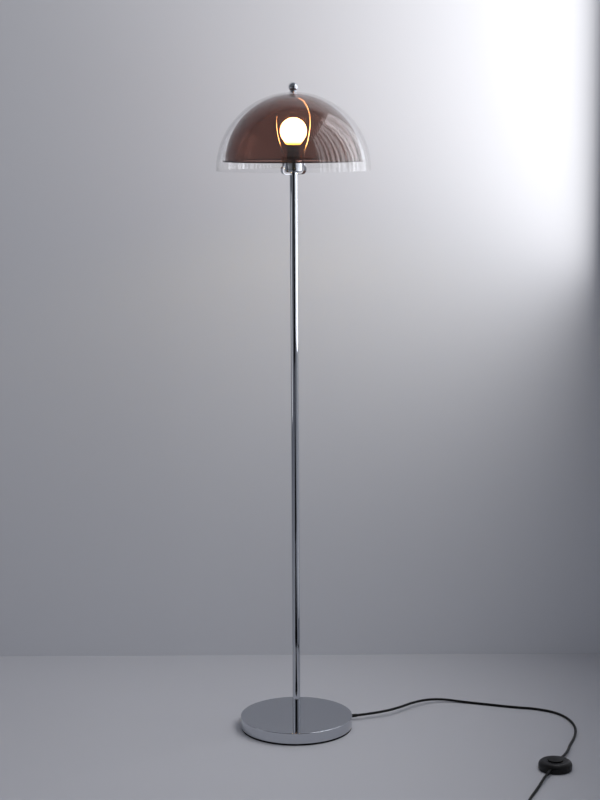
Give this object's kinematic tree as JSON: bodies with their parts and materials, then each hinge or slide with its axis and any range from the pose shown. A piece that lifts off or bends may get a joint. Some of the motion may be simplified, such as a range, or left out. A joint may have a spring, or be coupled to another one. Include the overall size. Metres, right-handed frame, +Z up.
{
  "type": "mushroom floor lamp",
  "caption": "Floor lamp with a brown dome inside a clear dome, held on a harp by a ball finial, over a lit globe bulb on a chrome pole and round base with a foot switch.",
  "frame": {"origin": "centre of the base's underside, on the floor", "axes": "+Z up along the pole; the front faces -Y; the cord leaves the base towards +X"},
  "size_m": [0.8359, 0.7784, 1.5073],
  "materials": {
    "smoked_acrylic": "brown acrylic, glossy, slightly see-through",
    "clear_acrylic": "clear acrylic, glossy",
    "chrome": "polished chrome plate",
    "zinc_steel": "zinc-plated steel",
    "cast_iron": "raw cast iron",
    "black_foam": "black foam pad",
    "brass": "plain brass",
    "black_plastic": "satin black",
    "black_gloss": "gloss black",
    "white_plastic": "satin white",
    "clear_plastic": "clear soft plastic",
    "opal": "opal diffuser, lit warm white",
    "board": "white circuit board",
    "black_insulator": "black insulating glass",
    "nickel": "nickel-plated",
    "copper": "bare copper strands",
    "spring_steel": "bright spring wire",
    "cord_black": "black flexible sheath"
  },
  "bodies": {
    "stand": {"base_pad": "black_foam", "base_cover": "chrome", "base_weight": "cast_iron", "base_stud": "zinc_steel", "base_washer": "zinc_steel", "base_nut": "zinc_steel", "base_boot": "cord_black", "pole_lead": "cord_black", "pole": "chrome", "pole_foot_insert": "zinc_steel", "pole_top_insert": "zinc_steel", "top_nipple": "zinc_steel", "harp_saddle": "chrome", "saddle_nut": "chrome", "holder_washer": "chrome", "holder_cup": "chrome", "cup_nut": "zinc_steel", "holder_body": "black_plastic", "terminal_screws": "brass", "lead_cores": "copper", "screw_shell": "brass", "centre_contact": "brass", "harp_wire": "chrome", "cord_to_switch": "cord_black", "cord_to_plug": "cord_black", "cord_coil": "cord_black", "cord_end": "cord_black", "coil_tie": "black_plastic", "switch_pad": "black_foam", "switch_lower": "black_plastic", "switch_upper": "black_plastic", "switch_block": "white_plastic", "switch_screws": "zinc_steel", "switch_spring": "spring_steel", "switch_leads": "cord_black", "inlet_boot": "cord_black", "outlet_boot": "cord_black", "plug_body": "black_plastic", "plug_pins": "nickel", "pin_sleeves": "black_plastic", "plug_boot": "cord_black"},
    "stud": {"harp_stud": "chrome", "dome_gasket": "clear_plastic", "dome_spacer": "clear_plastic"},
    "inner_dome": {"inner_dome": "smoked_acrylic"},
    "outer_dome": {"outer_dome": "clear_acrylic"},
    "finial": {"finial": "chrome"},
    "bulb": {"bulb_globe": "opal", "bulb_body": "black_gloss", "led_board": "board", "bulb_cap": "nickel", "bulb_insulator": "black_insulator", "bulb_tip": "nickel"},
    "left_ferrule": {"left_ferrule": "chrome"},
    "right_ferrule": {"right_ferrule": "chrome"},
    "button": {"switch_button": "black_plastic"}
  },
  "joints": [
    {"name": "stud_swivel", "type": "hinge", "parent": "stand", "child": "stud", "pos_m": [0, 0, 1.474], "axis": [0, 0, 1], "continuous": true},
    {"name": "inner_dome_turn", "type": "hinge", "parent": "stud", "child": "inner_dome", "pos_m": [0, 0, 1.48], "axis": [0, 0, 1], "continuous": true},
    {"name": "outer_dome_turn", "type": "hinge", "parent": "stud", "child": "outer_dome", "pos_m": [0, 0, 1.484], "axis": [0, 0, 1], "continuous": true},
    {"name": "finial_turn", "type": "hinge", "parent": "stud", "child": "finial", "pos_m": [0, 0, 1.496], "axis": [0, 0, 1], "continuous": true},
    {"name": "bulb_turn", "type": "hinge", "parent": "stand", "child": "bulb", "pos_m": [0, 0, 1.34], "axis": [0, 0, 1], "continuous": true},
    {"name": "left_ferrule_lift", "type": "slide", "parent": "stand", "child": "left_ferrule", "axis": [0, 0, 1], "range_m": [0, 0.007]},
    {"name": "right_ferrule_lift", "type": "slide", "parent": "stand", "child": "right_ferrule", "axis": [0, 0, 1], "range_m": [0, 0.007]},
    {"name": "switch_press", "type": "slide", "parent": "stand", "child": "button", "axis": [0, 0, -1], "range_m": [0, 0.003], "stiffness_N_per_m": 1200, "springref_m": -0.001, "deforming": ["switch_spring"]}
  ]
}
